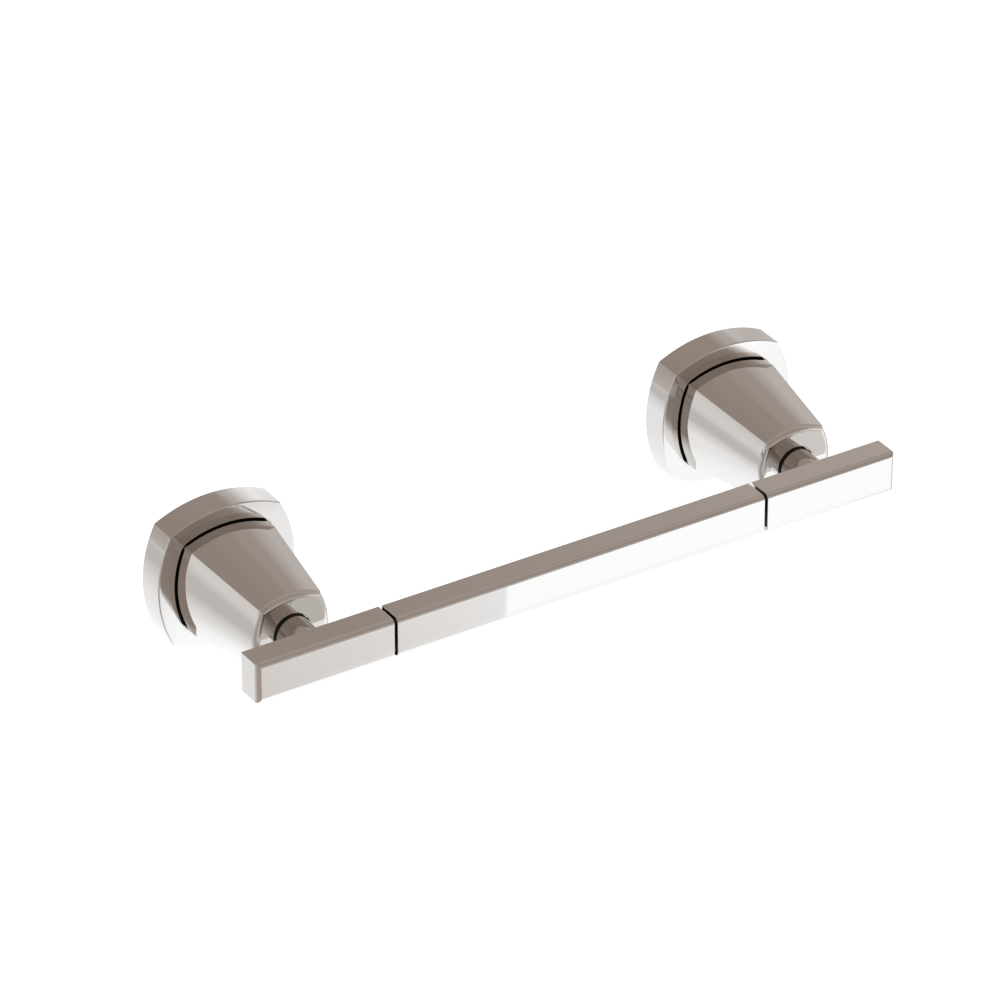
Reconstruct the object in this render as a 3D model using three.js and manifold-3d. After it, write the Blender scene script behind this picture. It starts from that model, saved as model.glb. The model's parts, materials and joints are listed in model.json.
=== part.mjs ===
// Double-post toilet paper holder, in millimetres, +Z up.
// X runs along the bar, the wall is the plane y = 0 and the room is on the -Y side.
// The origin is on the wall, midway between the posts, at the height of the bar.

import * as THREE from "three";
import { mergeVertices } from "three/addons/utils/BufferGeometryUtils.js";
import Module from "manifold-3d";

const wasm = await Module();
wasm.setup();

// Layout
const POST_X = 101.6; // post axis, from the middle of the bar
const FIT = 0.3; // working gap between neighbouring pieces
const ARC_STEPS = 8; // segments in each arced side of a cushion outline
const ROUND_STEPS = 24; // segments around a turned piece

// Flange: the cushion-shaped cup against the wall
const FLANGE_SIDE = 43.0;
const FLANGE_BULGE = 5.2;
const FLANGE_DEPTH = 11.0;
const FLANGE_WALL = 1.8;
const FLANGE_CAVITY = 7.1;
const FLANGE_FLOOR = 8.9;
const SHADOW_GAP = 0.65;
const RECESS_CORNER = 6.0;

// Wall plate, hub and tie bolt, hidden inside the flange
const PLATE_SIDE = 32.0;
const PLATE_BULGE = 1.6;
const PLATE_THICK = 2.2;
const PLATE_HOLE_OFFSET = 11.0;
const PLATE_HOLE_R = 2.2;
const BOSS_R = 8.0;
const BOSS_BORE_R = 5.6;
const BOSS_END = 5.3;
const HUB_R = 12.0;
const HUB_START = 2.6;
const HUB_WEB = 5.6;
const HUB_END = 6.8;
const SET_SCREW_Y = -4.6;
const SET_SCREW_R = 1.5;
const SET_SCREW_END = 13.4;
const BOLT_R = 2.5;
const BOLT_HEAD_R = 4.2;
const BOLT_HEAD_START = 2.7;
const BOLT_END = 72.0;

// Post: straight collar, then a tapering cushion body with a rounded front edge
const COLLAR_SIDE = 32.4;
const COLLAR_BULGE = 3.6;
const COLLAR_END = 15.9;
const BODY_START = 10.3;
const BODY_SIDE = 23.8;
const BODY_BULGE = 2.9;
const BODY_END = 52.0;
const FACE_SIDE = 20.4;
const FACE_BULGE = 2.3;
const FACE_Y = 54.4;
const BODY_WALL = 2.4;
const BODY_FLOOR = 50.2;
const SEAT_R = 7.15;
const SEAT_Y = 52.9;

// Neck between the post and the bar
const NECK_BASE_R = 6.65;
const NECK_TIP_R = 6.4;
const NECK_START = 55.1;

// Bar: two fixed end blocks with the roller between them
const BAR_BACK = 66.0;
const BAR_FRONT = 76.4;
const BAR_HEIGHT = 15.4;
const BAR_HALF = 128.2;
const BAR_ROUND = 1.85;
const BAR_BEVEL = 0.3;
const BLOCK_INNER = 74.95;
const ROLLER_HALF = 73.85;
const PIN_Y = -(BAR_BACK + BAR_FRONT) / 2;

// Roller internals
const TUBE_WALL = 1.2;
const PLUG_INNER = 51.0;
const PIN_R = 2.0;
const PIN_TIP = 77.25;
const PIN_DOME = 1.2;
const CHAMBER_R = 2.9;
const CHAMBER_END = 70.85;
const PIN_COLLAR_R = 2.6;
const PIN_COLLAR_LENGTH = 2.0;
const PIN_TAIL_R = 1.1;
const PIN_TAIL_END = 64.0;
const SPRING_MEAN_R = 1.95;
const SPRING_WIRE_R = 0.3;
const SPRING_TURNS = 6;
const SPRING_INNER = 55.25;
const CAP_LENGTH = 3.0;
const BUSH_R = 3.7;
const BUSH_END = 80.0;
const SOCKET_END = 77.85;

const NICKEL = { color: 0xb7aea3, metalness: 1.0, roughness: 0.12 };
const STEEL = { color: 0x8f9194, metalness: 1.0, roughness: 0.35 };
const ZINC = { color: 0xa3a6a8, metalness: 1.0, roughness: 0.5 };
const RUBBER = { color: 0x171513, metalness: 0.0, roughness: 0.8 };
const ACETAL = { color: 0x22201e, metalness: 0.0, roughness: 0.5 };

const group = new THREE.Group();

function addPart(name, geometry, finish) {
  const material = new THREE.MeshStandardMaterial(finish);
  const mesh = new THREE.Mesh(geometry, material);
  mesh.name = name;
  group.add(mesh);
}

// Solid helpers

// Drops normals and texture coordinates, merges vertices and removes collapsed triangles.
function weld(geometry) {
  const plain = geometry.clone();
  plain.deleteAttribute("normal");
  plain.deleteAttribute("uv");
  const merged = mergeVertices(plain, 1e-4);
  const source = merged.index.array;
  const index = [];
  for (let t = 0; t < source.length; t += 3) {
    const [a, b, c] = [source[t], source[t + 1], source[t + 2]];
    if (a !== b && b !== c && c !== a) {
      index.push(a, b, c);
    }
  }
  merged.setIndex(index);
  return merged;
}

// Turns a closed mesh's faces outward.
function outward(geometry) {
  const welded = weld(geometry);
  const position = welded.attributes.position;
  const index = Array.from(welded.index.array);
  const corner = index.map((i) => new THREE.Vector3().fromBufferAttribute(position, i));
  let volume = 0;
  for (let t = 0; t < corner.length; t += 3) {
    volume += corner[t].dot(new THREE.Vector3().crossVectors(corner[t + 1], corner[t + 2]));
  }
  if (volume < 0) {
    index.reverse();
  }
  welded.setIndex(index);
  welded.computeVertexNormals();
  return welded;
}

function toSolid(geometry) {
  const merged = weld(geometry);
  const vertProperties = new Float32Array(merged.attributes.position.array);
  const triVerts = new Uint32Array(merged.index.array);
  return new wasm.Manifold(new wasm.Mesh({ numProp: 3, vertProperties, triVerts }));
}

function toGeometry(solid) {
  const mesh = solid.getMesh();
  const positions = new Float32Array(mesh.numVert * 3);
  for (let i = 0; i < mesh.numVert; i += 1) {
    for (let axis = 0; axis < 3; axis += 1) {
      positions[i * 3 + axis] = mesh.vertProperties[i * mesh.numProp + axis];
    }
  }
  const geometry = new THREE.BufferGeometry();
  geometry.setAttribute("position", new THREE.BufferAttribute(positions, 3));
  geometry.setIndex(new THREE.BufferAttribute(new Uint32Array(mesh.triVerts), 1));
  geometry.computeVertexNormals();
  return geometry;
}

function cut(geometry, tools) {
  let solid = toSolid(geometry);
  for (const tool of tools) {
    solid = solid.subtract(toSolid(tool));
  }
  return toGeometry(solid);
}

// Skins a closed body over rings of equal point counts and caps both ends with fans.
function loft(rings) {
  const count = rings[0].length;
  const last = rings.length - 1;
  const points = rings.flat();
  const startCentre = points.length;
  const endCentre = startCentre + 1;
  for (const ring of [rings[0], rings[last]]) {
    const centre = new THREE.Vector3();
    ring.forEach((point) => centre.addScaledVector(point, 1 / count));
    points.push(centre);
  }
  const index = [];
  for (let r = 0; r < last; r += 1) {
    for (let i = 0; i < count; i += 1) {
      const a = r * count + i;
      const b = r * count + ((i + 1) % count);
      index.push(a, b, b + count, a, b + count, a + count);
    }
  }
  for (let i = 0; i < count; i += 1) {
    const next = (i + 1) % count;
    index.push(startCentre, next, i);
    index.push(endCentre, last * count + i, last * count + next);
  }
  const geometry = new THREE.BufferGeometry().setFromPoints(points);
  geometry.setIndex(index);
  return outward(geometry);
}

// Square outline with four arced sides, corner to corner `side`, at depth `depth` off the wall.
function cushionRing(x, depth, side, bulge) {
  const half = side / 2;
  const radius = (half * half + bulge * bulge) / (2 * bulge);
  const spread = Math.asin(half / radius);
  const ring = [];
  for (let quarter = 0; quarter < 4; quarter += 1) {
    const cos = Math.round(Math.cos((quarter * Math.PI) / 2));
    const sin = Math.round(Math.sin((quarter * Math.PI) / 2));
    for (let i = 0; i < ARC_STEPS; i += 1) {
      const angle = spread * ((2 * i) / ARC_STEPS - 1);
      const u = half + bulge - radius + radius * Math.cos(angle);
      const v = radius * Math.sin(angle);
      ring.push(new THREE.Vector3(x + u * cos - v * sin, -depth, u * sin + v * cos));
    }
  }
  return ring;
}

function cushionLoft(x, sections) {
  return loft(sections.map(([depth, side, bulge]) => cushionRing(x, depth, side, bulge)));
}

// Outline of the flange recess, `inset` inside it: the collar's sides moved out by the shadow gap
// and joined by rounded corners.
function recessRing(x, depth, inset) {
  const half = COLLAR_SIDE / 2;
  const collarRadius = (half * half + COLLAR_BULGE * COLLAR_BULGE) / (2 * COLLAR_BULGE);
  const centre = half + COLLAR_BULGE - collarRadius;
  const radius = collarRadius + SHADOW_GAP - inset;
  const corner = RECESS_CORNER - inset;
  const reach = radius - corner;
  const pivot = (centre + Math.sqrt(2 * reach * reach - centre * centre)) / 2;
  const spread = Math.atan2(pivot, pivot - centre);
  const side = [];
  for (let i = 0; i <= ARC_STEPS; i += 1) {
    const angle = spread * ((2 * i) / ARC_STEPS - 1);
    side.push([centre + radius * Math.cos(angle), radius * Math.sin(angle)]);
  }
  for (let i = 1; i < 4; i += 1) {
    const angle = spread + ((Math.PI / 2 - 2 * spread) * i) / 4;
    side.push([pivot + corner * Math.cos(angle), pivot + corner * Math.sin(angle)]);
  }
  const ring = [];
  for (let quarter = 0; quarter < 4; quarter += 1) {
    const cos = Math.round(Math.cos((quarter * Math.PI) / 2));
    const sin = Math.round(Math.sin((quarter * Math.PI) / 2));
    for (const [u, v] of side) {
      ring.push(new THREE.Vector3(x + u * cos - v * sin, -depth, u * sin + v * cos));
    }
  }
  return ring;
}

// Turned piece from [radius, depth] pairs about the post axis.
function turnedOnPost(x, profile) {
  const points = profile.map(([radius, depth]) => new THREE.Vector2(radius, -depth));
  const geometry = new THREE.LatheGeometry(points, ROUND_STEPS);
  geometry.translate(x, 0, 0);
  return outward(geometry);
}

// Turned piece from [radius, distance from the middle] pairs about the pin axis, on one side.
function turnedOnPin(side, profile) {
  const points = profile.map(([radius, along]) => new THREE.Vector2(radius, along));
  const geometry = new THREE.LatheGeometry(points, ROUND_STEPS);
  geometry.rotateZ((-side * Math.PI) / 2);
  geometry.translate(0, PIN_Y, 0);
  return outward(geometry);
}

// Section of the bar in the YZ plane: rounded front edges and lightly bevelled back edges.
function barSection(x, inset) {
  const half = BAR_HEIGHT / 2 - inset;
  const front = -BAR_FRONT + inset;
  const back = -BAR_BACK - inset;
  const round = Math.max(BAR_ROUND - inset, 0.6);
  const bevel = BAR_BEVEL;
  const steps = 6;
  const outline = [
    [back, half - bevel],
    [back - bevel, half],
  ];
  for (let i = 0; i <= steps; i += 1) {
    const angle = (i / steps) * (Math.PI / 2);
    const y = front + round - round * Math.sin(angle);
    outline.push([y, half - round + round * Math.cos(angle)]);
  }
  const lower = outline.map(([y, z]) => [y, -z]).reverse();
  return [...outline, ...lower].map(([y, z]) => new THREE.Vector3(x, y, z));
}

// Plan of an end block in the XY plane at height z: rounded outer front edge.
function blockPlan(side, z) {
  const outline = [
    [BLOCK_INNER, -BAR_BACK],
    [BLOCK_INNER, -BAR_FRONT],
  ];
  const steps = 6;
  for (let i = 0; i <= steps; i += 1) {
    const angle = (i / steps) * (Math.PI / 2);
    const x = BAR_HALF - BAR_ROUND + BAR_ROUND * Math.sin(angle);
    outline.push([x, -BAR_FRONT + BAR_ROUND - BAR_ROUND * Math.cos(angle)]);
  }
  outline.push([BAR_HALF, -BAR_BACK - BAR_BEVEL]);
  outline.push([BAR_HALF - BAR_BEVEL, -BAR_BACK]);
  return outline.map(([x, y]) => new THREE.Vector3(side * x, y, z));
}

function rod(radius, start, end) {
  return [
    [0, start],
    [radius, start],
    [radius, end],
    [0, end],
  ];
}

function verticalRod(x, y, radius, bottom, top, steps) {
  const geometry = new THREE.CylinderGeometry(radius, radius, top - bottom, steps);
  geometry.rotateX(Math.PI / 2);
  geometry.translate(x, y, (top + bottom) / 2);
  return geometry;
}

// Wall-side pieces

function wallPlate(x) {
  const slab = cushionLoft(x, [
    [0, PLATE_SIDE, PLATE_BULGE],
    [PLATE_THICK, PLATE_SIDE, PLATE_BULGE],
  ]);
  const boss = turnedOnPost(x, [
    [BOSS_BORE_R, PLATE_THICK - 0.5],
    [BOSS_R, PLATE_THICK - 0.5],
    [BOSS_R, BOSS_END],
    [BOSS_BORE_R, BOSS_END],
    [BOSS_BORE_R, PLATE_THICK - 0.5],
  ]);
  const joined = toGeometry(toSolid(slab).add(toSolid(boss)));
  const holes = [];
  for (const [dx, dz] of [[1, 1], [1, -1], [-1, 1], [-1, -1]]) {
    const hole = turnedOnPost(x + dx * PLATE_HOLE_OFFSET, rod(PLATE_HOLE_R, -1, PLATE_THICK + 1));
    holes.push(hole.translate(0, 0, dz * PLATE_HOLE_OFFSET));
  }
  return cut(joined, holes);
}

function hub(x) {
  const cup = turnedOnPost(x, [
    [BOLT_R + FIT, HUB_WEB],
    [BOSS_R + FIT, HUB_WEB],
    [BOSS_R + FIT, HUB_START],
    [HUB_R, HUB_START],
    [HUB_R, HUB_END],
    [BOLT_R + FIT, HUB_END],
    [BOLT_R + FIT, HUB_WEB],
  ]);
  const bore = verticalRod(x, SET_SCREW_Y, SET_SCREW_R + 0.15, -HUB_R - 2, -BOSS_R + 1, 20);
  return cut(cup, [bore]);
}

// Headless screw with a hex socket at its lower end and a cone point at its upper end.
function setScrew(x) {
  const top = -BOSS_R - FIT;
  const shape = new THREE.LatheGeometry(
    [
      new THREE.Vector2(0, -SET_SCREW_END),
      new THREE.Vector2(SET_SCREW_R - 0.3, -SET_SCREW_END),
      new THREE.Vector2(SET_SCREW_R, -SET_SCREW_END + 0.3),
      new THREE.Vector2(SET_SCREW_R, top - 0.9),
      new THREE.Vector2(0.6, top),
      new THREE.Vector2(0, top),
    ],
    20,
  );
  shape.rotateX(Math.PI / 2);
  shape.translate(x, SET_SCREW_Y, 0);
  const socket = verticalRod(x, SET_SCREW_Y, 0.85, -SET_SCREW_END - 1, -SET_SCREW_END + 1.6, 6);
  return cut(outward(shape), [socket]);
}

function flange(x) {
  const inner = FLANGE_SIDE - 2 * FLANGE_WALL;
  const shell = cushionLoft(x, [
    [0, FLANGE_SIDE, FLANGE_BULGE],
    [FLANGE_DEPTH - 0.3, FLANGE_SIDE, FLANGE_BULGE],
    [FLANGE_DEPTH, FLANGE_SIDE - 0.6, FLANGE_BULGE],
  ]);
  const cavity = cushionLoft(x, [
    [-1, inner, FLANGE_BULGE],
    [FLANGE_CAVITY, inner, FLANGE_BULGE],
  ]);
  const recess = loft([recessRing(x, FLANGE_FLOOR, 0), recessRing(x, FLANGE_DEPTH + 1, 0)]);
  const boltHole = turnedOnPost(x, rod(BOLT_R + FIT, FLANGE_CAVITY - 1, FLANGE_FLOOR + 1));
  const keyHole = verticalRod(x, SET_SCREW_Y, 1.8, -FLANGE_SIDE, -HUB_R - 2, 20);
  return cut(shell, [cavity, recess, boltHole, keyHole]);
}

function flangeGasket(x) {
  const back = recessRing(x, FLANGE_FLOOR + FIT, FIT);
  const front = recessRing(x, BODY_START - FIT, FIT);
  const sheet = loft([back, front]);
  return cut(sheet, [turnedOnPost(x, rod(BOLT_R + FIT, FLANGE_FLOOR, BODY_START + 1))]);
}

// Post pieces

function postBody(x) {
  const sections = [
    [BODY_START, COLLAR_SIDE, COLLAR_BULGE],
    [COLLAR_END, COLLAR_SIDE, COLLAR_BULGE],
    [BODY_END, BODY_SIDE, BODY_BULGE],
  ];
  const steps = 5;
  for (let i = 1; i <= steps; i += 1) {
    const angle = (i / steps) * (Math.PI / 2);
    const depth = BODY_END + (FACE_Y - BODY_END) * Math.sin(angle);
    const blend = Math.cos(angle);
    const side = FACE_SIDE + (BODY_SIDE - FACE_SIDE) * blend;
    sections.push([depth, side, FACE_BULGE + (BODY_BULGE - FACE_BULGE) * blend]);
  }
  const hollow = cushionLoft(x, [
    [BODY_START - 1, COLLAR_SIDE - 2 * BODY_WALL, COLLAR_BULGE],
    [COLLAR_END, COLLAR_SIDE - 2 * BODY_WALL, COLLAR_BULGE],
    [BODY_FLOOR, BODY_SIDE - 2 * BODY_WALL, BODY_BULGE],
  ]);
  const seat = turnedOnPost(x, rod(SEAT_R, SEAT_Y, FACE_Y + 1));
  const boltHole = turnedOnPost(x, rod(BOLT_R + FIT, BODY_FLOOR - 1, FACE_Y));
  return cut(cushionLoft(x, sections), [hollow, seat, boltHole]);
}

function neckWasher(x) {
  return turnedOnPost(x, [
    [BOLT_R + FIT, SEAT_Y + FIT],
    [SEAT_R - FIT, SEAT_Y + FIT],
    [SEAT_R - FIT, NECK_START - FIT],
    [BOLT_R + FIT, NECK_START - FIT],
    [BOLT_R + FIT, SEAT_Y + FIT],
  ]);
}

function neck(x) {
  const end = BAR_BACK - FIT;
  return turnedOnPost(x, [
    [BOLT_R + FIT, NECK_START],
    [NECK_BASE_R, NECK_START],
    [NECK_TIP_R, end],
    [BOLT_R + FIT, end],
    [BOLT_R + FIT, NECK_START],
  ]);
}

function tieBolt(x) {
  const bolt = turnedOnPost(x, [
    [0, BOLT_HEAD_START],
    [BOLT_HEAD_R - 0.3, BOLT_HEAD_START],
    [BOLT_HEAD_R, BOLT_HEAD_START + 0.3],
    [BOLT_HEAD_R, HUB_WEB - FIT],
    [BOLT_R, HUB_WEB - FIT],
    [BOLT_R, BOLT_END - 0.6],
    [BOLT_R - 0.6, BOLT_END],
    [0, BOLT_END],
  ]);
  const socket = new THREE.CylinderGeometry(1.75, 1.75, 3.2, 6);
  socket.translate(x, -BOLT_HEAD_START, 0);
  return cut(bolt, [socket]);
}

// Bar pieces

function endBlock(side) {
  const x = side * POST_X;
  const length = loft([barSection(side * (BLOCK_INNER - 1), 0), barSection(side * (BAR_HALF + 1), 0)]);
  const plan = loft([blockPlan(side, -BAR_HEIGHT), blockPlan(side, BAR_HEIGHT)]);
  const block = toGeometry(toSolid(length).intersect(toSolid(plan)));
  const boltHole = turnedOnPost(x, rod(BOLT_R + FIT, BAR_BACK - 1, BOLT_END + FIT));
  const bushHole = turnedOnPin(side, rod(BUSH_R + FIT, BLOCK_INNER - 1, BUSH_END + FIT));
  return cut(block, [boltHole, bushHole]);
}

function socketBush(side) {
  return turnedOnPin(side, [
    [0, SOCKET_END],
    [PIN_R + FIT, SOCKET_END],
    [PIN_R + FIT, BLOCK_INNER + 0.4],
    [PIN_R + FIT + 0.4, BLOCK_INNER],
    [BUSH_R, BLOCK_INNER],
    [BUSH_R, BUSH_END],
    [0, BUSH_END],
  ]);
}

function rollerTube() {
  const outer = loft([barSection(-ROLLER_HALF, 0), barSection(ROLLER_HALF, 0)]);
  const inner = loft([
    barSection(-ROLLER_HALF - 1, TUBE_WALL),
    barSection(ROLLER_HALF + 1, TUBE_WALL),
  ]);
  return cut(outer, [inner]);
}

function rollerPlug(side) {
  const inset = TUBE_WALL + FIT;
  const block = loft([
    barSection(side * PLUG_INNER, inset),
    barSection(side * (ROLLER_HALF - 0.2), inset),
  ]);
  const chamber = turnedOnPin(side, rod(CHAMBER_R, PLUG_INNER - 1, CHAMBER_END));
  const nose = turnedOnPin(side, rod(PIN_R + FIT, CHAMBER_END - 1, ROLLER_HALF + 1));
  return cut(block, [chamber, nose]);
}

function plunger(side) {
  const shoulder = CHAMBER_END - FIT;
  const profile = [
    [0, PIN_TAIL_END],
    [PIN_TAIL_R, PIN_TAIL_END],
    [PIN_TAIL_R, shoulder - PIN_COLLAR_LENGTH],
    [PIN_COLLAR_R, shoulder - PIN_COLLAR_LENGTH],
    [PIN_COLLAR_R, shoulder],
    [PIN_R, shoulder],
    [PIN_R, PIN_TIP - PIN_DOME],
  ];
  for (const angle of [30, 60]) {
    const turn = THREE.MathUtils.degToRad(angle);
    profile.push([PIN_R * Math.cos(turn), PIN_TIP - PIN_DOME + PIN_DOME * Math.sin(turn)]);
  }
  profile.push([0, PIN_TIP]);
  return turnedOnPin(side, profile);
}

function springCap(side) {
  const end = SPRING_INNER - FIT;
  return turnedOnPin(side, rod(CHAMBER_R - FIT, end - CAP_LENGTH, end));
}

class Coil extends THREE.Curve {
  constructor(side, start, end) {
    super();
    this.side = side;
    this.start = start;
    this.length = end - start;
  }

  getPoint(t, target = new THREE.Vector3()) {
    const angle = t * SPRING_TURNS * 2 * Math.PI;
    return target.set(
      this.side * (this.start + t * this.length),
      PIN_Y + SPRING_MEAN_R * Math.cos(angle),
      SPRING_MEAN_R * Math.sin(angle),
    );
  }
}

function plungerSpring(side) {
  const end = CHAMBER_END - 2 * FIT - PIN_COLLAR_LENGTH - SPRING_WIRE_R;
  const path = new Coil(side, SPRING_INNER + SPRING_WIRE_R, end);
  const wire = new THREE.Shape();
  for (let i = 0; i < 5; i += 1) {
    const angle = (i / 5) * 2 * Math.PI;
    const [u, v] = [SPRING_WIRE_R * Math.cos(angle), SPRING_WIRE_R * Math.sin(angle)];
    if (i === 0) {
      wire.moveTo(u, v);
    } else {
      wire.lineTo(u, v);
    }
  }
  const options = { steps: SPRING_TURNS * 12, extrudePath: path, curveSegments: 1 };
  return outward(new THREE.ExtrudeGeometry(wire, options));
}

for (const [label, side] of [["left", -1], ["right", 1]]) {
  const x = side * POST_X;
  addPart(`${label}_wall_plate`, wallPlate(x), ZINC);
  addPart(`${label}_hub`, hub(x), ZINC);
  addPart(`${label}_set_screw`, setScrew(x), STEEL);
  addPart(`${label}_flange`, flange(x), NICKEL);
  addPart(`${label}_flange_gasket`, flangeGasket(x), RUBBER);
  addPart(`${label}_post_body`, postBody(x), NICKEL);
  addPart(`${label}_neck_washer`, neckWasher(x), RUBBER);
  addPart(`${label}_neck`, neck(x), NICKEL);
  addPart(`${label}_tie_bolt`, tieBolt(x), STEEL);
  addPart(`${label}_end_block`, endBlock(side), NICKEL);
  addPart(`${label}_socket_bush`, socketBush(side), ACETAL);
  addPart(`${label}_roller_plug`, rollerPlug(side), ACETAL);
  addPart(`${label}_plunger`, plunger(side), STEEL);
  addPart(`${label}_plunger_spring`, plungerSpring(side), STEEL);
  addPart(`${label}_spring_cap`, springCap(side), ACETAL);
}
addPart("roller_tube", rollerTube(), NICKEL);

export default group;
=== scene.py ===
"""Looks for the double-post toilet paper holder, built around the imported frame.

Metres, +X along the bar, +Y into the wall, +Z up.
"""
import json
import math

import bmesh
import bpy
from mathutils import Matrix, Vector


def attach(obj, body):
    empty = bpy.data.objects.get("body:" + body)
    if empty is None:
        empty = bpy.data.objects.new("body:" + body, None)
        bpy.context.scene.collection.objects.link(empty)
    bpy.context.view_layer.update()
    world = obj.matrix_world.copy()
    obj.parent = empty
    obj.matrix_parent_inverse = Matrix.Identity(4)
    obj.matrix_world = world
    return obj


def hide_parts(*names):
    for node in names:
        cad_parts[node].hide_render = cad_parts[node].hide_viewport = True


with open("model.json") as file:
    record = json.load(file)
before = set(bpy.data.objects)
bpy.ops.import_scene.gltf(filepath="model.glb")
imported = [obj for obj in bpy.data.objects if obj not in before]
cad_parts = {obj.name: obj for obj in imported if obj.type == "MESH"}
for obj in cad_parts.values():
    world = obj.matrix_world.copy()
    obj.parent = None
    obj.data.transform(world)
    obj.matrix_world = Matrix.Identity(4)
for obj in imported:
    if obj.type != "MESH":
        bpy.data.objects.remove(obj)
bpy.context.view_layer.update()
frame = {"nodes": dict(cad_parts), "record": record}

MM = 0.001

# ---------------------------------------------------------------- measures, in mm
# Depths run out from the wall. A bulge is how far an arced side stands past its chord.
POST_X = 101.6
FLANGE = {"side": 43.0, "bulge": 5.19, "depth": 11.0, "wall": 1.8, "cavity": 7.1, "floor": 8.9}
KEY_HOLE = {"radius": 1.8, "length": 12.0, "depth": 4.6, "z": -24.0}
COLLAR = {"side": 32.4, "bulge": 3.6, "start": 10.3, "end": 15.9}
SHADOW_GAP, RECESS_CORNER = 0.65, 6.0
BODY = {"side": 23.8, "bulge": 2.9, "end": 52.0, "wall": 2.4, "floor": 50.2}
FACE_Y, FACE_INSET = 54.4, 2.3
SEAT_R, SEAT_Y = 7.15, 52.9
BORE_R = 2.8
NECK = {"base": 6.65, "tip": 6.4, "start": 55.1, "end": 65.7}
BAR = {"back": 66.0, "front": 76.4, "half_z": 7.7, "round": 1.85}
BLOCK_INNER, BLOCK_OUTER = 74.95, 128.2
ROLLER_HALF = 73.85
TUBE_WALL = 1.2
FIT = 0.3
CORNER, CORNER_MIN = 0.35, 0.12
ARC_STEPS, CORNER_STEPS, TURNED_STEPS = 40, 4, 96
SMOOTH_DEGREES, NORMAL_WEIGHT = 28.0, 60
SIDES = (("left", -1), ("right", 1))


# ---------------------------------------------------------------- mesh tools
def cushion(side, bulge, inset=0.0, corner=CORNER):
    """Outline with four arced sides and lightly rounded corners, as (x, z) pairs in mm."""
    half = side / 2
    radius = (half * half + bulge * bulge) / (2 * bulge)
    centre = half + bulge - radius
    radius -= inset
    r = max(corner - inset, CORNER_MIN)
    # The corner's centre is (t, t), where its circle touches the side's arc from within.
    reach = radius - r
    a, b, c = 2.0, -2.0 * centre, centre * centre - reach * reach
    t = (-b + math.sqrt(b * b - 4 * a * c)) / (2 * a)
    limit = math.atan2(t, t - centre)
    points = []
    for cos, sin in ((1, 0), (0, 1), (-1, 0), (0, -1)):
        local = []
        for i in range(ARC_STEPS + 1):
            angle = limit * (2 * i / ARC_STEPS - 1)
            local.append((centre + radius * math.cos(angle), radius * math.sin(angle)))
        for i in range(1, CORNER_STEPS):
            angle = limit + (math.pi / 2 - 2 * limit) * i / CORNER_STEPS
            local.append((t + r * math.cos(angle), t + r * math.sin(angle)))
        points += [(x * cos - z * sin, x * sin + z * cos) for x, z in local]
    return points


CUSHION_COUNT = len(cushion(FLANGE["side"], FLANGE["bulge"]))


def recess(inset):
    """Outline of the flange recess: the collar moved out by the shadow gap, with rounded corners."""
    return cushion(COLLAR["side"], COLLAR["bulge"], inset - SHADOW_GAP, RECESS_CORNER - SHADOW_GAP)


def circle(radius, count=CUSHION_COUNT, turn=-math.pi / 4):
    """Circle as (x, z) pairs in mm, starting at the same corner as a cushion outline."""
    angles = [turn + 2 * math.pi * i / count for i in range(count)]
    return [(radius * math.cos(angle), radius * math.sin(angle)) for angle in angles]


def ring_on_post(x, depth, outline):
    """Ring of points around the post at x, from an (x, z) outline at a depth from the wall."""
    return [Vector((x + u, -depth, w)) * MM for u, w in outline]


def loft(name, rings, closed=False):
    """Object skinned over rings of equal counts; closed joins the last ring to the first."""
    bm = bmesh.new()
    rows = [[bm.verts.new(p) for p in ring] for ring in rings]
    count = len(rows[0])
    pairs = list(zip(rows, rows[1:])) + ([(rows[-1], rows[0])] if closed else [])
    for low, high in pairs:
        for i in range(count):
            j = (i + 1) % count
            bm.faces.new((low[i], low[j], high[j], high[i]))
    if not closed:
        bm.faces.new(rows[0])
        bm.faces.new(list(reversed(rows[-1])))
    bmesh.ops.recalc_face_normals(bm, faces=bm.faces[:])
    return finish_mesh(name, bm)


def finish_mesh(name, bm):
    """Turns a bmesh into an object with smooth faces, sharp creases and area-weighted normals."""
    for face in bm.faces:
        face.smooth = True
    limit = math.radians(SMOOTH_DEGREES)
    for edge in bm.edges:
        edge.smooth = edge.calc_face_angle(0.0) < limit
    mesh = bpy.data.meshes.new(name)
    bm.to_mesh(mesh)
    bm.free()
    obj = bpy.data.objects.new(name, mesh)
    bpy.context.scene.collection.objects.link(obj)
    weighted = obj.modifiers.new("weighted", "WEIGHTED_NORMAL")
    weighted.keep_sharp = True
    weighted.weight = NORMAL_WEIGHT
    return obj


def apply_modifiers(obj):
    """Replaces an object's mesh with its evaluated one."""
    graph = bpy.context.evaluated_depsgraph_get()
    mesh = bpy.data.meshes.new_from_object(obj.evaluated_get(graph))
    obj.modifiers.clear()
    obj.data = mesh


def quarter(steps):
    """Sine and cosine pairs over a quarter turn, ends included."""
    angles = [math.pi / 2 * i / steps for i in range(steps + 1)]
    return [(math.sin(angle), math.cos(angle)) for angle in angles]


# ---------------------------------------------------------------- pieces
def key_hole_cutter(x):
    """Upright rod that cuts the hex key's hole in the flange's underside."""
    bm = bmesh.new()
    radius = KEY_HOLE["radius"] * MM
    made = bmesh.ops.create_cone(
        bm, cap_ends=True, segments=40, radius1=radius, radius2=radius, depth=KEY_HOLE["length"] * MM,
    )
    middle = Vector((x, -KEY_HOLE["depth"], KEY_HOLE["z"])) * MM
    bmesh.ops.translate(bm, verts=made["verts"], vec=middle)
    mesh = bpy.data.meshes.new("cutter")
    bm.to_mesh(mesh)
    bm.free()
    cutter = bpy.data.objects.new("cutter", mesh)
    bpy.context.scene.collection.objects.link(cutter)
    return cutter


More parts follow.
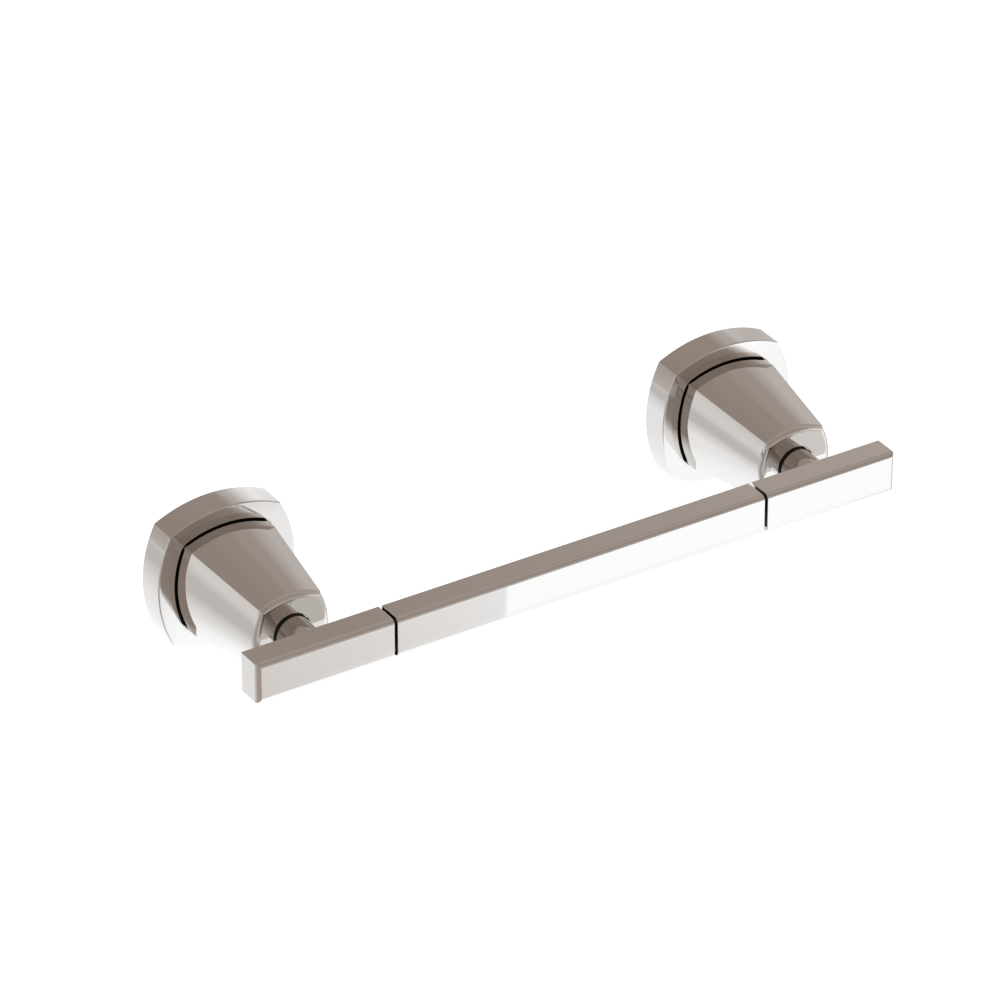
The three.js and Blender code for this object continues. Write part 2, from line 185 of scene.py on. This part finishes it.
def make_flange(label, x):
    """Hollow wall flange, open at the back, with the gasket's recess and the key hole."""
    side, bulge = FLANGE["side"], FLANGE["bulge"]
    edge, rim, lip = 0.45, 0.25, 0.15
    flat_outer, flat_inner = 1.2, 0.9
    rings = []

    def add(depth, outline):
        rings.append(ring_on_post(x, depth, outline))

    for s, c in reversed(quarter(3)):
        add(rim - rim * s, cushion(side, bulge, rim - rim * c))
    for s, c in quarter(5):
        add(FLANGE["depth"] - edge + edge * s, cushion(side, bulge, edge - edge * c))
    add(FLANGE["depth"], cushion(side, bulge, flat_outer))
    add(FLANGE["depth"], recess(-flat_inner))
    for s, c in quarter(3):
        add(FLANGE["depth"] - lip * (1 - c), recess(-lip + lip * s))
    add(FLANGE["floor"], recess(0.0))
    add(FLANGE["floor"], circle(BORE_R))
    add(FLANGE["cavity"], circle(BORE_R))
    inner = side - 2 * FLANGE["wall"]
    add(FLANGE["cavity"], cushion(inner, bulge))
    add(rim, cushion(inner, bulge))
    add(0.0, cushion(inner, bulge, -rim))
    obj = loft(f"{label}_flange_shell", rings, closed=True)
    cutter = key_hole_cutter(x)
    cutter_mesh = cutter.data
    hole = obj.modifiers.new("hole", "BOOLEAN")
    hole.operation = "DIFFERENCE"
    hole.solver = "EXACT"
    hole.object = cutter
    # The hole is cut before the normals are weighted.
    obj.modifiers.move(1, 0)
    apply_modifiers(obj)
    bpy.data.objects.remove(cutter)
    bpy.data.meshes.remove(cutter_mesh)
    return obj


def make_shade_gasket(label, x):
    """Black rubber sheet in the flange recess, with a small chamfer behind and a rounded edge in front;
    its black is partly a real seat and partly painted shade for the gap around the collar.
    """
    low, high = FLANGE["floor"] + FIT, COLLAR["start"] - FIT
    chamfer, edge, middle = 0.1, 0.2, 0.06
    sections = (
        (low, chamfer), (low + chamfer, 0.0),
        (high - edge, 0.0), (high - middle, middle), (high, edge),
    )
    rings = [ring_on_post(x, depth, recess(FIT + inset)) for depth, inset in sections]
    rings.append(ring_on_post(x, high, circle(BORE_R)))
    rings.append(ring_on_post(x, low, circle(BORE_R)))
    return loft(f"{label}_gasket_shade_sheet", rings, closed=True)


def make_body(label, x):
    """Hollow post: a straight collar, a tapering cushion body, a rounded edge and a face with a seat."""
    side, bulge = COLLAR["side"], COLLAR["bulge"]
    chamfer, crease, lip = 0.3, 0.12, 0.15
    flat_outer, flat_inner = 0.5, 0.7
    rings = []

    def add(depth, outline):
        rings.append(ring_on_post(x, depth, outline))

    start, end = COLLAR["start"], COLLAR["end"]
    add(start, cushion(side, bulge, chamfer))
    add(start + chamfer, cushion(side, bulge))
    add(end - crease, cushion(side, bulge))
    span = BODY["end"] - end
    for share in (0.004, 0.25, 0.5, 0.75, 1.0):
        wide = side + (BODY["side"] - side) * share
        deep = bulge + (BODY["bulge"] - bulge) * share
        add(end + span * share, cushion(wide, deep))
    reach = FACE_Y - BODY["end"]
    for s, c in quarter(12)[1:]:
        add(BODY["end"] + reach * s, cushion(BODY["side"], BODY["bulge"], FACE_INSET * (1 - c)))
    add(FACE_Y, cushion(BODY["side"], BODY["bulge"], FACE_INSET + flat_outer))
    add(FACE_Y, circle(SEAT_R + flat_inner))
    for s, c in quarter(3):
        add(FACE_Y - lip * (1 - c), circle(SEAT_R + lip * (1 - s)))
    add(SEAT_Y, circle(SEAT_R))
    add(SEAT_Y, circle(BORE_R))
    add(BODY["floor"], circle(BORE_R))
    add(BODY["floor"], cushion(BODY["side"] - 2 * BODY["wall"], BODY["bulge"]))
    add(end, cushion(side - 2 * BODY["wall"], bulge))
    add(start, cushion(side - 2 * BODY["wall"], bulge))
    return loft(f"{label}_post_shell", rings, closed=True)


def turned(name, x, profile):
    """Closed turned ring about the post axis from (radius, depth) pairs."""
    rings = [ring_on_post(x, depth, circle(radius, TURNED_STEPS, 0.0)) for radius, depth in profile]
    return loft(name, rings, closed=True)


def make_neck(label, x):
    """Short turned neck between the post and the bar, tapering slightly."""
    start, end = NECK["start"], NECK["end"]
    base, tip = NECK["base"], NECK["tip"]
    chamfer, steps = 0.2, 10
    profile = [(BORE_R, start), (base - chamfer, start), (base, start + chamfer)]
    for i in range(1, steps):
        share = i / steps
        profile.append((base + (tip - base) * share, start + (end - start) * share))
    profile += [(tip, end - chamfer), (tip - chamfer, end), (BORE_R, end)]
    return turned(f"{label}_neck_turned", x, profile)


def make_shade_washer(label, x):
    """Black ring between the post and the neck, set in the face's seat; its black is partly a real
    washer and partly painted shade for the gap at the neck's base.
    """
    low, high = SEAT_Y + FIT, NECK["start"] - FIT
    chamfer = 0.12
    outer = SEAT_R - FIT
    profile = [
        (BORE_R, low), (outer - chamfer, low), (outer, low + chamfer),
        (outer, high - chamfer), (outer - chamfer, high), (BORE_R, high),
    ]
    return turned(f"{label}_washer_shade_ring", x, profile)


def bar_section(x, inset=0.0, psi=0.0):
    """YZ section of the bar at x. psi ends the front's rounding early, which draws the front in."""
    half = BAR["half_z"] - inset
    round_r = BAR["round"]
    y_mid = -BAR["front"] + round_r
    back = -BAR["back"] - inset
    bevel, bevel_steps, round_steps = 0.3, 4, 12
    outline = []
    for s, c in quarter(bevel_steps):
        outline.append((back - bevel + bevel * c, half - bevel + bevel * s))
    r = round_r - inset
    limit = math.pi / 2 - psi
    for i in range(round_steps + 1):
        theta = limit * i / round_steps
        outline.append((y_mid - r * math.sin(theta), half - r + r * math.cos(theta)))
    lower = [(y, -z) for y, z in reversed(outline)]
    return [Vector((x, y, z)) * MM for y, z in outline + lower]


def make_block(label, side):
    """Solid end block; its front rolls back into the outer end around an upright edge."""
    rings = []
    round_r, round_steps, edge = BAR["round"], 14, 0.25
    psi_max = math.pi / 2 * 0.999
    for s, c in reversed(quarter(3)):
        rings.append(bar_section(side * (BLOCK_INNER + edge * (1 - s)), edge * (1 - c)))
    start = BLOCK_OUTER - round_r
    for share in (0.1, 0.5, 0.9):
        rings.append(bar_section(side * (BLOCK_INNER + (start - BLOCK_INNER) * share)))
    last = math.asin((round_r - edge) / round_r)
    for i in range(round_steps + 1):
        psi = last * i / round_steps
        rings.append(bar_section(side * (start + round_r * math.sin(psi)), 0.0, psi))
    for s, c in quarter(4)[1:]:
        x = BLOCK_OUTER - edge + edge * s
        psi = math.asin(min(1.0, (x - start) / round_r))
        rings.append(bar_section(side * x, edge * (1 - c), min(psi, psi_max)))
    return loft(f"{label}_end_bar", rings)


def make_roller():
    """Bar tube between the blocks: eased ends outside, then the bore from the right end back."""
    half, edge = ROLLER_HALF, 0.25
    long_flat, bore_lead = half * 0.9, 2.0
    eased = [(half - edge + edge * s, edge * (1 - c)) for s, c in quarter(3)]
    rings = [bar_section(-x, inset) for x, inset in reversed(eased)]
    rings += [bar_section(-long_flat), bar_section(long_flat)]
    rings += [bar_section(x, inset) for x, inset in eased]
    for side in (1, -1):
        rings.append(bar_section(side * half, TUBE_WALL))
        rings.append(bar_section(side * (half - bore_lead), TUBE_WALL))
    return loft("roller_bar", rings, closed=True)


# ---------------------------------------------------------------- materials
def new_material(name, color, metallic, roughness):
    """Material with constant values set, with its nodes, links, shader and object coordinates."""
    mat = bpy.data.materials.new(name)
    mat.use_nodes = True
    nodes, links = mat.node_tree.nodes, mat.node_tree.links
    shader = nodes["Principled BSDF"]
    shader.inputs["Base Color"].default_value = (*color, 1.0)
    shader.inputs["Metallic"].default_value = metallic
    shader.inputs["Roughness"].default_value = roughness
    coords = nodes.new("ShaderNodeTexCoord")
    return mat, nodes, links, shader, coords.outputs["Object"]


def add_noise(nodes, links, vector, scale, detail):
    noise = nodes.new("ShaderNodeTexNoise")
    noise.inputs["Scale"].default_value = scale
    noise.inputs["Detail"].default_value = detail
    links.new(vector, noise.inputs["Vector"])
    return noise.outputs["Fac"]


def map_range(nodes, links, value, low, high, from_low=0.3, from_high=0.7):
    """Maps a value from one span to another, clamped; the default span is where noise mostly lies."""
    node = nodes.new("ShaderNodeMapRange")
    node.inputs["From Min"].default_value = from_low
    node.inputs["From Max"].default_value = from_high
    node.inputs["To Min"].default_value = low
    node.inputs["To Max"].default_value = high
    links.new(value, node.inputs["Value"])
    return node.outputs["Result"]


def add_bump(nodes, links, shader, height, strength, distance):
    bump = nodes.new("ShaderNodeBump")
    bump.inputs["Strength"].default_value = strength
    bump.inputs["Distance"].default_value = distance
    links.new(height, bump.inputs["Height"])
    links.new(bump.outputs["Normal"], shader.inputs["Normal"])


def mix_color(nodes, links, factor, low, high):
    """Mixes two constant colours; blend does the same for two linked ones."""
    node = nodes.new("ShaderNodeMix")
    node.data_type = "RGBA"
    node.inputs["A"].default_value = (*low, 1.0)
    node.inputs["B"].default_value = (*high, 1.0)
    links.new(factor, node.inputs["Factor"])
    return node.outputs["Result"]


def nickel_material():
    """Mirror-polished nickel: faint haze, slow tone drift and a very slight waviness of the plate."""
    mat, nodes, links, shader, point = new_material("polished_nickel", (0.60, 0.57, 0.545), 1.0, 0.02)
    haze = add_noise(nodes, links, point, 60.0, 5.0)
    links.new(map_range(nodes, links, haze, 0.012, 0.034), shader.inputs["Roughness"])
    tone = add_noise(nodes, links, point, 18.0, 2.0)
    tint = mix_color(nodes, links, tone, (0.592, 0.560, 0.533), (0.612, 0.582, 0.558))
    links.new(tint, shader.inputs["Base Color"])
    plate = add_noise(nodes, links, point, 55.0, 1.0)
    add_bump(nodes, links, shader, plate, 0.35, 0.000006)
    return mat


def plain_metal(name, low, high, roughness):
    """Unpolished metal with a fine grain in its tone, gloss and surface."""
    mat, nodes, links, shader, point = new_material(name, low, 1.0, roughness)
    grain = add_noise(nodes, links, point, 700.0, 4.0)
    links.new(mix_color(nodes, links, grain, low, high), shader.inputs["Base Color"])
    gloss = map_range(nodes, links, grain, roughness - 0.08, roughness + 0.12)
    links.new(gloss, shader.inputs["Roughness"])
    add_bump(nodes, links, shader, grain, 0.2, 0.00005)
    return mat


def dark_polymer(name, low, high, roughness, scale):
    """Rubber or plastic with a fine grain of the given noise scale."""
    mat, nodes, links, shader, point = new_material(name, low, 0.0, roughness)
    grain = add_noise(nodes, links, point, scale, 3.0)
    links.new(mix_color(nodes, links, grain, low, high), shader.inputs["Base Color"])
    gloss = map_range(nodes, links, grain, roughness - 0.1, roughness + 0.1)
    links.new(gloss, shader.inputs["Roughness"])
    add_bump(nodes, links, shader, grain, 0.3, 0.00004)
    return mat


MATERIALS = {
    "polished_nickel": nickel_material(),
    "steel": plain_metal("turned_steel", (0.42, 0.42, 0.43), (0.56, 0.56, 0.57), 0.3),
    "zinc_plated_steel": plain_metal("zinc_plate", (0.50, 0.51, 0.52), (0.66, 0.67, 0.68), 0.4),
    "black_rubber": dark_polymer(
        "black_rubber", (0.008, 0.007, 0.006), (0.016, 0.014, 0.012), 0.75, 1500.0,
    ),
    "black_acetal": dark_polymer(
        "black_acetal", (0.02, 0.019, 0.018), (0.03, 0.028, 0.027), 0.45, 900.0,
    ),
}


def fit_piece(obj, slot_name, body, node):
    """Gives a new piece its slot's material and body, in place of a CAD node."""
    obj.data.materials.append(MATERIALS[slot_name])
    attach(obj, body)
    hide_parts(node)


for label, side in SIDES:
    x = side * POST_X
    fit_piece(make_flange(label, x), "polished_nickel", "bracket", f"{label}_flange")
    # The black gasket sheet also paints the shade of the gap around the collar.
    fit_piece(make_shade_gasket(label, x), "black_rubber", "bracket", f"{label}_flange_gasket")
    fit_piece(make_body(label, x), "polished_nickel", "bracket", f"{label}_post_body")
    fit_piece(make_neck(label, x), "polished_nickel", "bracket", f"{label}_neck")
    # The black washer ring also paints the shade of the gap between the post face and the neck.
    fit_piece(make_shade_washer(label, x), "black_rubber", "bracket", f"{label}_neck_washer")
    fit_piece(make_block(label, side), "polished_nickel", "bracket", f"{label}_end_block")
fit_piece(make_roller(), "polished_nickel", "roller", "roller_tube")

SLOT_OF = {row["node"]: row["material_slot"] for row in frame["record"]["subparts"]}
for node, obj in frame["nodes"].items():
    for material_slot in obj.material_slots:
        material_slot.material = MATERIALS[SLOT_OF[node]]


# ---------------------------------------------------------------- stage
FLOOR_Z, FLOOR_HALF = -0.32, 30.0
FLOOR_GLOW = {"near": 1.2, "near_strength": 0.75, "far": 4.0, "far_strength": 0.40}


def make_floor():
    """White floor that also glows, most of all around its middle, under the part."""
    bm = bmesh.new()
    bmesh.ops.create_grid(bm, x_segments=1, y_segments=1, size=FLOOR_HALF)
    mesh = bpy.data.meshes.new("studio_floor")
    bm.to_mesh(mesh)
    bm.free()
    obj = bpy.data.objects.new("studio_floor", mesh)
    obj.location = (0.0, 0.0, FLOOR_Z)
    bpy.context.scene.collection.objects.link(obj)
    mat = bpy.data.materials.new("studio_floor")
    mat.use_nodes = True
    nodes, links = mat.node_tree.nodes, mat.node_tree.links
    shader = nodes["Principled BSDF"]
    shader.inputs["Base Color"].default_value = (0.86, 0.86, 0.86, 1.0)
    shader.inputs["Roughness"].default_value = 0.9
    shader.inputs["Specular IOR Level"].default_value = 0.0
    coords = nodes.new("ShaderNodeTexCoord")
    length = nodes.new("ShaderNodeVectorMath")
    length.operation = "LENGTH"
    links.new(coords.outputs["Object"], length.inputs[0])
    glow = map_range(
        nodes, links, length.outputs["Value"],
        FLOOR_GLOW["near_strength"], FLOOR_GLOW["far_strength"], FLOOR_GLOW["near"], FLOOR_GLOW["far"],
    )
    shader.inputs["Emission Color"].default_value = (1.0, 0.995, 0.985, 1.0)
    links.new(glow, shader.inputs["Emission Strength"])
    mesh.materials.append(mat)
    obj.visible_glossy = False


# Studio radiance by elevation, for sectors of azimuth measured from +Y towards +X:
# (border, half width of the blend into it, ((elevation, radiance), ...)).
SECTORS = (
    (-180, 1, ((-90, 1.0), (-30, 0.65), (-12, 0.62), (0, 0.52), (12, 0.46), (24, 0.40), (36, 0.37),
               (60, 0.39), (90, 0.46))),
    (-104, 12, ((-90, 1.0), (-20, 0.82), (-10, 0.90), (-3, 1.03), (4, 1.0), (12, 0.82), (20, 0.66),
                (32, 0.48), (60, 0.38), (90, 0.46))),
    (-52, 5, ((-90, 1.0), (-20, 0.84), (-10, 0.79), (-3, 0.64), (4, 0.55), (12, 0.46), (28, 0.38),
              (60, 0.38), (90, 0.46))),
    (8, 10, ((-90, 1.0), (-15, 0.85), (0, 0.76), (12, 0.78), (19, 0.72), (24, 0.58), (28, 0.45),
             (33, 0.40), (60, 0.41), (90, 0.46))),
    (33.5, 3, ((-90, 1.0), (-15, 0.80), (0, 0.68), (12, 0.70), (20, 0.72), (25, 0.66), (31, 0.585),
               (37, 0.47), (60, 0.46), (90, 0.47))),
    (75, 12, ((-90, 1.6), (-15, 1.30), (0, 1.0), (15, 0.70), (30, 0.54), (60, 0.50), (90, 0.47))),
    (129, 5, ((-90, 1.6), (-12, 1.60), (-6, 1.52), (0, 1.22), (7, 0.98), (12, 0.65), (18, 0.54),
              (24, 0.46), (36, 0.40), (90, 0.47))),
    (141, 2.5, ((-90, 1.6), (-12, 1.58), (-6, 1.30), (0, 0.80), (6, 0.55), (12, 0.47), (24, 0.41),
                (36, 0.38), (60, 0.41), (90, 0.47))),
    (147.77, 0.3, ((-90, 1.0), (-15, 0.70), (-6, 0.60), (0, 0.56), (12, 0.51), (24, 0.45), (36, 0.41),
                   (60, 0.41), (90, 0.46))),
)
WORLD_STRENGTH = 2.0
BACKDROP = (0.44, 0.44, 0.44, 1.0)
WARM_BELOW, COOL_ABOVE, TINT_SPAN = 0.85, 1.05, 0.45


def studio_color(value):
    """Colour for a radiance, in units of WORLD_STRENGTH: dim parts are warm, bright ones cool."""
    warm = min(max((WARM_BELOW - value) / TINT_SPAN, 0.0), 1.0)
    cool = min(max((value - COOL_ABOVE) / TINT_SPAN, 0.0), 1.0)
    level = value / WORLD_STRENGTH
    red = level * (1 + 0.13 * warm - 0.05 * cool)
    green = level * (1 - 0.02 * warm)
    blue = level * (1 - 0.115 * warm + 0.045 * cool)
    return (red, green, blue, 1.0)


def ramp_node(nodes, links, factor, stops):
    """Color ramp over (position, radiance) stops, positions 0 to 1, in units of WORLD_STRENGTH."""
    ramp = nodes.new("ShaderNodeValToRGB")
    elements = ramp.color_ramp.elements
    while len(elements) < len(stops):
        elements.new(0.5)
    for element, (position, value) in zip(elements, stops):
        element.position = position
        element.color = studio_color(value)
    links.new(factor, ramp.inputs["Fac"])
    return ramp.outputs["Color"]


def math_node(nodes, links, operation, *inputs):
    """Math node whose inputs are numbers or linked outputs."""
    node = nodes.new("ShaderNodeMath")
    node.operation = operation
    for socket, value in zip(node.inputs, inputs):
        if isinstance(value, (int, float)):
            socket.default_value = value
        else:
            links.new(value, socket)
    return node.outputs["Value"]


def smallest(nodes, links, first, *others):
    """The smallest of several linked values."""
    result = first
    for other in others:
        result = math_node(nodes, links, "MINIMUM", result, other)
    return result


def blend(nodes, links, factor, low, high):
    """Mixes two linked colours."""
    node = nodes.new("ShaderNodeMix")
    node.data_type = "RGBA"
    links.new(factor, node.inputs["Factor"])
    links.new(low, node.inputs["A"])
    links.new(high, node.inputs["B"])
    return node.outputs["Result"]


def make_world():
    """Surroundings that the metal reflects, with a plain pale backdrop for the camera."""
    world = bpy.data.worlds.new("studio")
    bpy.context.scene.world = world
    world.use_nodes = True
    nodes, links = world.node_tree.nodes, world.node_tree.links
    back = nodes["Background"]
    coords = nodes.new("ShaderNodeTexCoord")
    split = nodes.new("ShaderNodeSeparateXYZ")
    links.new(coords.outputs["Generated"], split.inputs["Vector"])
    turn = math_node(nodes, links, "ARCTAN2", split.outputs["X"], split.outputs["Y"])
    azimuth = math_node(nodes, links, "MULTIPLY", turn, math.degrees(1))
    rise = math_node(nodes, links, "ARCSINE", split.outputs["Z"])
    height = math_node(nodes, links, "MULTIPLY_ADD", rise, 1 / math.pi, 0.5)
    color = None
    for border, soft, stops in SECTORS:
        heights = [((elevation + 90) / 180, value) for elevation, value in stops]
        own = ramp_node(nodes, links, height, heights)
        if color is None:
            color = own
        else:
            share = map_range(nodes, links, azimuth, 0.0, 1.0, border - soft, border + soft)
            color = blend(nodes, links, share, color, own)
    path = nodes.new("ShaderNodeLightPath")
    pale = nodes.new("ShaderNodeRGB")
    pale.outputs["Color"].default_value = BACKDROP
    color = blend(nodes, links, path.outputs["Is Camera Ray"], color, pale.outputs["Color"])
    links.new(color, back.inputs["Color"])
    back.inputs["Strength"].default_value = WORLD_STRENGTH


def blend_darker(nodes, links, first, second):
    """The darker of two linked colours, channel by channel."""
    node = nodes.new("ShaderNodeMix")
    node.data_type = "RGBA"
    node.blend_type = "DARKEN"
    node.inputs["Factor"].default_value = 1.0
    links.new(first, node.inputs["A"])
    links.new(second, node.inputs["B"])
    return node.outputs["Result"]


def along(nodes, links, value, stops):
    """Radiance from (coordinate, radiance) stops, coordinates in metres."""
    start, end = stops[0][0], stops[-1][0]
    share = map_range(nodes, links, value, 0.0, 1.0, start, end)
    shares = [((at - start) / (end - start), level) for at, level in stops]
    return ramp_node(nodes, links, share, shares)


def make_card(name, corners):
    """Flat light card that only reflections see.

    Returns its nodes and links, its object coordinates and the colour socket to fill.
    """
    mesh = bpy.data.meshes.new(name)
    mesh.from_pydata(corners, [], [(0, 1, 2, 3)])
    obj = bpy.data.objects.new(name, mesh)
    bpy.context.scene.collection.objects.link(obj)
    obj.visible_camera = False
    obj.visible_diffuse = False
    obj.visible_transmission = False
    obj.visible_shadow = False
    mat = bpy.data.materials.new(name)
    mat.use_nodes = True
    nodes, links = mat.node_tree.nodes, mat.node_tree.links
    nodes.remove(nodes["Principled BSDF"])
    emission = nodes.new("ShaderNodeEmission")
    emission.inputs["Strength"].default_value = WORLD_STRENGTH
    links.new(emission.outputs["Emission"], nodes["Material Output"].inputs["Surface"])
    coords = nodes.new("ShaderNodeTexCoord")
    split = nodes.new("ShaderNodeSeparateXYZ")
    links.new(coords.outputs["Object"], split.inputs["Vector"])
    mesh.materials.append(mat)
    return nodes, links, split.outputs, emission.inputs["Color"]


def make_table_card():
    """Table top under the part: bright at the back and right, dim at the left and front left.

    The front strip has its own light, which the bar's front face reflects. A slightly dimmer patch
    at the right is what the right flange's edge reflects.
    """
    reach, level = 1.6, -0.25
    square = ((-1, -1), (1, -1), (1, 1), (-1, 1))
    corners = [(reach * u, reach * v, level) for u, v in square]
    nodes, links, point, target = make_card("table_card", corners)
    x, y = point["X"], point["Y"]

    def field(gain_x, gain_y):
        """Slanted coordinate, gain_x * x + gain_y * y."""
        part = math_node(nodes, links, "MULTIPLY", y, gain_y)
        return math_node(nodes, links, "MULTIPLY_ADD", x, gain_x, part)

    def rise(value, low, high):
        """0 below low, 1 above high."""
        return map_range(nodes, links, value, 0.0, 1.0, low, high)

    def fall(value, low, high):
        """1 below low, 0 above high."""
        return map_range(nodes, links, value, 1.0, 0.0, low, high)

    # Dim left and bright right
    dim = along(nodes, links, y, ((-0.25, 0.50), (0.05, 0.80)))
    outer = along(nodes, links, x, ((-1.60, 0.93), (-0.80, 0.80)))
    dim = blend(nodes, links, fall(x, -1.5, -0.8), dim, outer)
    lit = along(nodes, links, y, (
        (-0.40, 1.36), (-0.365, 1.42), (-0.34, 1.62), (-0.30, 1.74), (-0.05, 1.58),
        (0.12, 1.50), (0.17, 1.48), (0.21, 1.34), (0.30, 1.29),
    ))
    right = along(nodes, links, y, ((-0.30, 1.62), (0.20, 1.74)))
    lit = blend(nodes, links, rise(x, 0.12, 0.36), lit, right)
    left = rise(field(1.0, 0.35), -0.44, -0.17)
    front_left = rise(field(1.0, 0.75), -0.36, -0.19)
    color = blend(nodes, links, smallest(nodes, links, left, front_left), dim, lit)

    # Front strip
    near = along(nodes, links, x, (
        (-0.12, 0.50), (-0.06, 0.55), (0.0, 0.75), (0.06, 1.03),
        (0.0835, 1.09), (0.1365, 1.21), (0.19, 1.37),
    ))
    far = along(nodes, links, y, ((-0.64, 0.70), (-0.60, 0.80), (-0.55, 1.15), (-0.50, 1.37)))
    shaded = blend_darker(nodes, links, near, far)
    bright = along(nodes, links, x, ((0.0, 1.69), (1.0, 1.71)))
    edge = rise(field(0.8459, 0.5333), -0.0675, -0.0665)
    front = blend(nodes, links, edge, shaded, bright)
    color = blend(nodes, links, fall(y, -0.405, -0.390), color, front)

    # Dimmer patch at the right
    beyond = rise(field(0.882, 0.47), 0.175, 0.205)
    aside = rise(x, 0.14, 0.17)
    before = fall(y, 0.17, 0.22)
    after = rise(y, -0.26, -0.22)
    patch = smallest(nodes, links, beyond, aside, before, after)
    shade = along(nodes, links, y, ((-0.5, 0.85), (0.5, 0.85)))
    links.new(blend(nodes, links, patch, color, shade), target)


def make_glow_card():
    """Bright low window of light behind the part, fading out at its sides and top."""
    back, left, right, bottom, top = 0.933, -0.1, 1.0, -0.3, 0.62
    corners = [(left, back, bottom), (right, back, bottom), (right, back, top), (left, back, top)]
    nodes, links, point, target = make_card("glow_card", corners)
    across = along(nodes, links, point["X"], (
        (-0.10, 0.70), (0.30, 1.05), (0.48, 1.36), (0.72, 1.34), (0.84, 0.88), (0.90, 0.80), (1.0, 0.70),
    ))
    upward = along(nodes, links, point["Z"], (
        (0.18, 1.40), (0.30, 1.25), (0.39, 1.12), (0.46, 0.94), (0.54, 0.70), (0.62, 0.56),
    ))
    links.new(blend_darker(nodes, links, across, upward), target)


def aim(obj, at):
    direction = Vector(at) - obj.location
    obj.rotation_euler = direction.to_track_quat("-Z", "Y").to_euler()


def area_light(name, location, at, size, watts):
    """Light that polished metal doesn't reflect; the cards and the world do that work."""
    data = bpy.data.lights.new(name, "AREA")
    data.shape = "RECTANGLE"
    data.size, data.size_y = size
    data.energy = watts
    obj = bpy.data.objects.new(name, data)
    obj.location = location
    aim(obj, at)
    obj.visible_camera = False
    obj.visible_glossy = False
    bpy.context.scene.collection.objects.link(obj)


make_floor()
make_world()
make_table_card()
make_glow_card()
area_light("key_soft", (-2.2, 0.3, 2.6), (0, -0.04, 0), (1.0, 1.0), 25.0)


# ---------------------------------------------------------------- camera
AZIMUTH, ELEVATION = math.radians(-32.36), math.radians(31.57)
DISTANCE = 2.3625
FOCAL_MM = 248.2
LOOK_AT = (0.0, -0.03565, 0.0)
AIM_OFFSET = (-0.00675, 0.00781)


def make_camera():
    """Camera placed around LOOK_AT, then turned a little to bring the part to its place in the frame."""
    back = Vector((
        math.sin(AZIMUTH) * math.cos(ELEVATION),
        -math.cos(AZIMUTH) * math.cos(ELEVATION),
        math.sin(ELEVATION),
    ))
    right = Vector((math.cos(AZIMUTH), math.sin(AZIMUTH), 0.0))
    up = back.cross(right)
    target = Vector(LOOK_AT)
    data = bpy.data.cameras.new("camera")
    data.sensor_width = 36.0
    data.lens = FOCAL_MM
    data.clip_start = 0.05
    data.clip_end = 100.0
    camera = bpy.data.objects.new("camera", data)
    camera.location = target + back * DISTANCE
    aim(camera, target + right * AIM_OFFSET[0] + up * AIM_OFFSET[1])
    bpy.context.scene.collection.objects.link(camera)
    bpy.context.scene.camera = camera


make_camera()
view = bpy.context.scene.view_settings
view.view_transform = "Standard"
view.look = "None"
view.exposure = 0.0
view.gamma = 1.0
